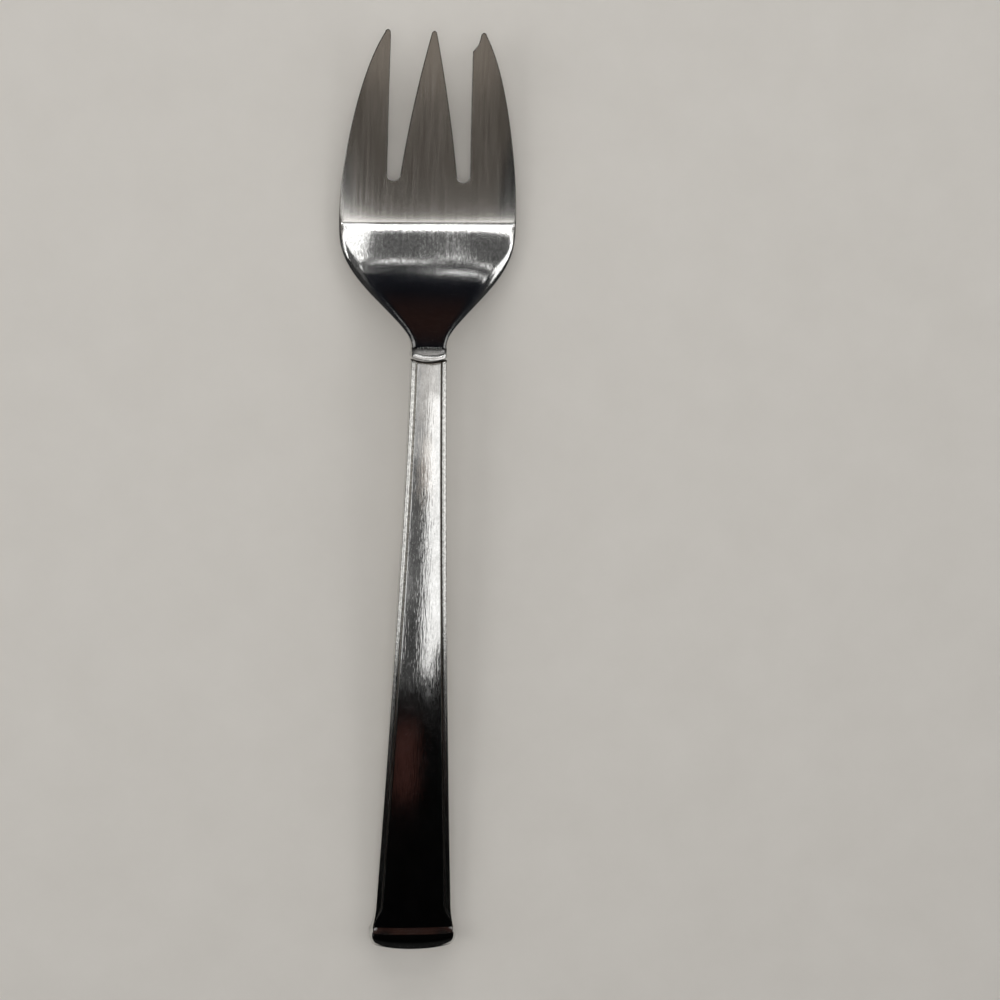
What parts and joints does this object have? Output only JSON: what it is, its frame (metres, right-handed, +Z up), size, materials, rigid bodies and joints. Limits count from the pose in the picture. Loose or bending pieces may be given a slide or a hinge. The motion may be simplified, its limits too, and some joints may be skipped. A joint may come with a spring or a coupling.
{
  "type": "cold meat fork",
  "caption": "Serving fork with a wide flat tined head, a narrow collared neck and a hollow tapered handle with raised rims and a flared butt, for lifting cold sliced meat.",
  "frame": {"origin": "bottom centre of the box around the fork as it lies on a table", "axes": "+Y along the fork towards the tine tips, +X across it, +Z up out of its front side"},
  "size_m": [0.041, 0.216, 0.0153],
  "materials": {
    "head_steel": "satin steel brushed lengthwise",
    "handle_steel": "polished steel with fine scratches from use",
    "core_cement": "matt cement, hidden inside the handle"
  },
  "bodies": {
    "root": {"fork_head": "head_steel", "neck_collar": "handle_steel", "handle_front_shell": "handle_steel", "handle_back_shell": "handle_steel", "handle_core": "core_cement", "butt_cap": "handle_steel"}
  },
  "joints": []
}
